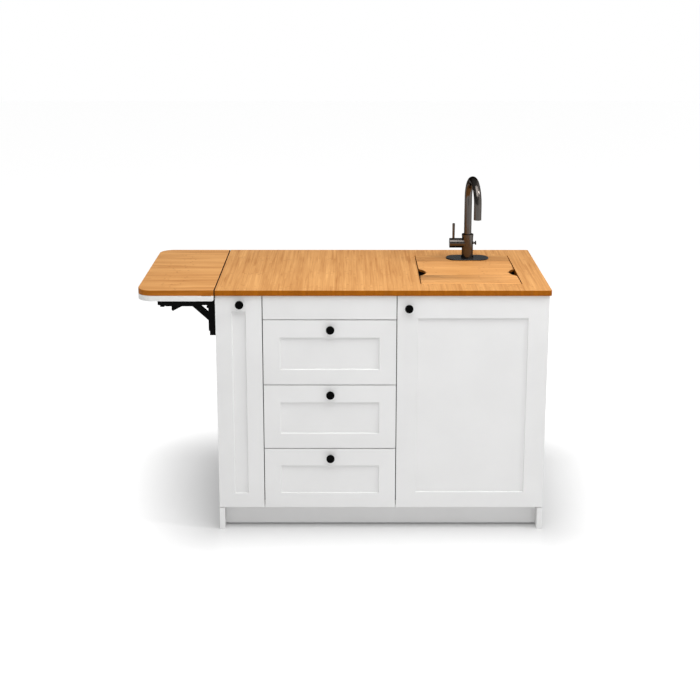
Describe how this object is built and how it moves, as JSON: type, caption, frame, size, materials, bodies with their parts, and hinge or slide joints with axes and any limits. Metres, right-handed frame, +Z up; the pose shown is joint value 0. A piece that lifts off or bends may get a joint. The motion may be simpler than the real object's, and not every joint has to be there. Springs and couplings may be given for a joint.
{
  "type": "camper kitchen cabinet",
  "caption": "White shaker kitchen cabinet for a camper with drawers, a narrow pull-out, a hinged door, a wooden worktop with a lidded sink and tap, and a folding side flap.",
  "frame": {"origin": "on the floor, at the centre of the rectangle of the four floor bolts", "axes": "+X to the right along the cabinet's width, +Y from the front to the back, +Z up"},
  "size_m": [1.4765, 0.665, 1.2529],
  "materials": {
    "white_paint": "satin white paint on board",
    "white_board": "white melamine-faced board",
    "bamboo": "oiled strip bamboo",
    "plywood": "clear-lacquered birch plywood",
    "rubber": "black sealing rubber",
    "sink_steel": "brushed stainless steel",
    "gunmetal": "brushed dark gunmetal",
    "slate_metal": "satin slate black",
    "zinc_steel": "zinc-plated steel",
    "black_steel": "black powder coat",
    "black_knob": "matte black"
  },
  "bodies": {
    "cabinet": {"left_side_panel": "white_paint", "right_side_panel": "white_paint", "pullout_partition": "white_board", "sink_partition": "white_board", "base_panel": "white_board", "back_panel": "white_board", "plinth": "white_paint", "front_rails": "white_board", "rear_rails": "white_board", "fixed_front_panel": "white_paint", "worktop": "bamboo", "tap_ledge": "bamboo", "sink_gasket": "rubber", "sink_bowl": "sink_steel", "sink_waste": "sink_steel", "deck_plate": "slate_metal", "faucet_body": "gunmetal", "faucet_nut": "zinc_steel", "cabinet_runners": "zinc_steel", "hinge_arms": "zinc_steel", "floor_brackets": "zinc_steel", "wall_plates": "black_steel", "bracket_pins": "black_steel", "cabinet_screws": "zinc_steel"},
    "flap": {"flap_top": "bamboo", "flap_underboard": "white_paint", "bracket_arms": "black_steel", "flap_screws": "zinc_steel"},
    "struts": {"bracket_struts": "black_steel"},
    "release_triggers": {"release_triggers": "black_steel"},
    "pullout": {"pullout_front": "white_paint", "pullout_knob": "black_knob", "pullout_uprights": "plywood", "pullout_trays": "plywood", "pullout_runners": "zinc_steel"},
    "door": {"door": "white_paint", "door_knob": "black_knob", "hinge_cups": "zinc_steel"},
    "sink_lid": {"sink_lid": "bamboo"},
    "faucet_spout": {"faucet_spout": "gunmetal", "aerator": "gunmetal"},
    "faucet_lever": {"lever_cap": "gunmetal", "lever_rod": "gunmetal"},
    "diverter_knob": {"diverter_knob": "gunmetal"},
    "drawer_1": {"drawer_1_front": "white_paint", "drawer_1_knob": "black_knob", "drawer_1_box": "plywood", "drawer_1_bottom": "plywood", "drawer_1_runners": "zinc_steel"},
    "drawer_2": {"drawer_2_front": "white_paint", "drawer_2_knob": "black_knob", "drawer_2_box": "plywood", "drawer_2_bottom": "plywood", "drawer_2_runners": "zinc_steel"},
    "drawer_3": {"drawer_3_front": "white_paint", "drawer_3_knob": "black_knob", "drawer_3_box": "plywood", "drawer_3_bottom": "plywood", "drawer_3_runners": "zinc_steel"}
  },
  "joints": [
    {"name": "drawer_1_slide", "type": "slide", "parent": "cabinet", "child": "drawer_1", "axis": [0, -1, 0], "range_m": [0, 0.35]},
    {"name": "drawer_2_slide", "type": "slide", "parent": "cabinet", "child": "drawer_2", "axis": [0, -1, 0], "range_m": [0, 0.35]},
    {"name": "drawer_3_slide", "type": "slide", "parent": "cabinet", "child": "drawer_3", "axis": [0, -1, 0], "range_m": [0, 0.35]},
    {"name": "pullout_slide", "type": "slide", "parent": "cabinet", "child": "pullout", "axis": [0, -1, 0], "range_m": [0, 0.35]},
    {"name": "door_hinge", "type": "hinge", "parent": "cabinet", "child": "door", "pos_m": [0.5955, -0.313, 0.48975], "axis": [0, 0, 1], "range_deg": [0, 110]},
    {"name": "flap_hinge", "type": "hinge", "parent": "cabinet", "child": "flap", "pos_m": [-0.61, 0, 0.855], "axis": [0, -1, 0], "range_deg": [0, 90]},
    {"name": "strut_pivot", "type": "hinge", "parent": "cabinet", "child": "struts", "pos_m": [-0.61, 0, 0.792], "axis": [0, -1, 0], "range_deg": [0, 133]},
    {"name": "trigger_pivot", "type": "hinge", "parent": "flap", "child": "release_triggers", "pos_m": [-0.696, 0, 0.859], "axis": [0, 1, 0], "range_deg": [0, 18]},
    {"name": "sink_lid_lift", "type": "slide", "parent": "cabinet", "child": "sink_lid", "axis": [0, 0, 1], "range_m": [0, 0.15]},
    {"name": "spout_swivel", "type": "hinge", "parent": "cabinet", "child": "faucet_spout", "pos_m": [0.345, 0.162, 0.998], "axis": [0, 0, 1], "range_deg": [-110, 110]},
    {"name": "faucet_lever_turn", "type": "hinge", "parent": "cabinet", "child": "faucet_lever", "pos_m": [0.29, 0.162, 0.977], "axis": [1, 0, 0], "range_deg": [0, 90]},
    {"name": "diverter_pull", "type": "slide", "parent": "cabinet", "child": "diverter_knob", "axis": [1, 0, 0], "range_m": [0, 0.006]}
  ],
  "couplings": [
    {"joint": "strut_pivot", "follows": "flap_hinge", "ratio": 1.4725},
    {"joint": "trigger_pivot", "follows": "flap_hinge", "ratio": 0.2}
  ]
}
